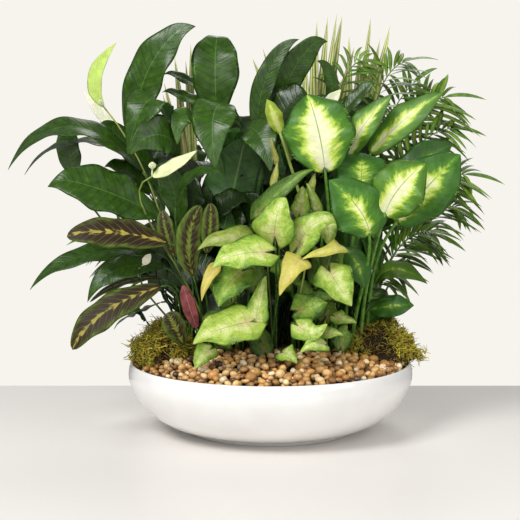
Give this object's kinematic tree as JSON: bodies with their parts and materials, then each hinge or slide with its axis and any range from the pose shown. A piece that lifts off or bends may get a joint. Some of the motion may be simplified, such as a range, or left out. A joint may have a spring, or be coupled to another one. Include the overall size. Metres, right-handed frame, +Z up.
{
  "type": "dish garden",
  "caption": "Shallow round glazed bowl planted with mixed foliage house plants in soil, dressed with river gravel and moss.",
  "frame": {"origin": "centre of the bowl's flat foot, on the surface it stands on", "axes": "+Z up; the arrangement's front, with the gravel and the arrowhead leaves, faces -Y; +X to the right seen from the front"},
  "size_m": [0.5267, 0.3836, 0.4482],
  "materials": {
    "glaze": "gloss white glaze over stoneware",
    "soil": "damp potting soil, matte",
    "gravel": "polished river pebbles, tan to brown",
    "moss": "dried forest moss, olive to brown, matte",
    "peace_lily_leaf": "dark green leaf, satin gloss, sunken side veins",
    "spathe": "soft white to lime spathe",
    "prayer_plant_leaf": "bronze-brown leaf with a lime herringbone midrib",
    "arrowhead_leaf": "pale lime leaf with a cream-pink middle",
    "dumb_cane_leaf": "cream leaf with a feathered green margin",
    "palm_leaf": "thin mid-green leaflets",
    "striped_blade": "narrow cream and green striped blade"
  },
  "bodies": {
    "root": {"arrowhead_leaf_1": "arrowhead_leaf", "arrowhead_leaf_2": "arrowhead_leaf", "arrowhead_leaf_3": "arrowhead_leaf", "arrowhead_leaf_4": "arrowhead_leaf", "arrowhead_leaf_5": "arrowhead_leaf", "arrowhead_leaf_6": "arrowhead_leaf", "arrowhead_leaf_7": "arrowhead_leaf", "arrowhead_leaf_8": "arrowhead_leaf", "arrowhead_leaf_9": "arrowhead_leaf", "bowl": "glaze", "dumb_cane_leaf_1": "dumb_cane_leaf", "dumb_cane_leaf_10": "dumb_cane_leaf", "dumb_cane_leaf_2": "dumb_cane_leaf", "dumb_cane_leaf_3": "dumb_cane_leaf", "dumb_cane_leaf_4": "dumb_cane_leaf", "dumb_cane_leaf_5": "dumb_cane_leaf", "dumb_cane_leaf_6": "dumb_cane_leaf", "dumb_cane_leaf_7": "dumb_cane_leaf", "dumb_cane_leaf_8": "dumb_cane_leaf", "dumb_cane_leaf_9": "dumb_cane_leaf", "moss_back": "moss", "moss_left": "moss", "moss_right": "moss", "palm_frond_1": "palm_leaf", "palm_frond_2": "palm_leaf", "palm_frond_3": "palm_leaf", "palm_frond_4": "palm_leaf", "palm_frond_5": "palm_leaf", "palm_frond_6": "palm_leaf", "peace_lily_flower_1": "spathe", "peace_lily_flower_2": "spathe", "peace_lily_flower_3": "spathe", "peace_lily_leaf_1": "peace_lily_leaf", "peace_lily_leaf_10": "peace_lily_leaf", "peace_lily_leaf_11": "peace_lily_leaf", "peace_lily_leaf_12": "peace_lily_leaf", "peace_lily_leaf_13": "peace_lily_leaf", "peace_lily_leaf_14": "peace_lily_leaf", "peace_lily_leaf_15": "peace_lily_leaf", "peace_lily_leaf_2": "peace_lily_leaf", "peace_lily_leaf_3": "peace_lily_leaf", "peace_lily_leaf_4": "peace_lily_leaf", "peace_lily_leaf_5": "peace_lily_leaf", "peace_lily_leaf_6": "peace_lily_leaf", "peace_lily_leaf_7": "peace_lily_leaf", "peace_lily_leaf_8": "peace_lily_leaf", "peace_lily_leaf_9": "peace_lily_leaf", "prayer_plant_leaf_1": "prayer_plant_leaf", "prayer_plant_leaf_2": "prayer_plant_leaf", "prayer_plant_leaf_3": "prayer_plant_leaf", "prayer_plant_leaf_4": "prayer_plant_leaf", "river_gravel": "gravel", "soil": "soil", "striped_tuft_1": "striped_blade", "striped_tuft_2": "striped_blade", "striped_tuft_3": "striped_blade"}
  },
  "joints": []
}
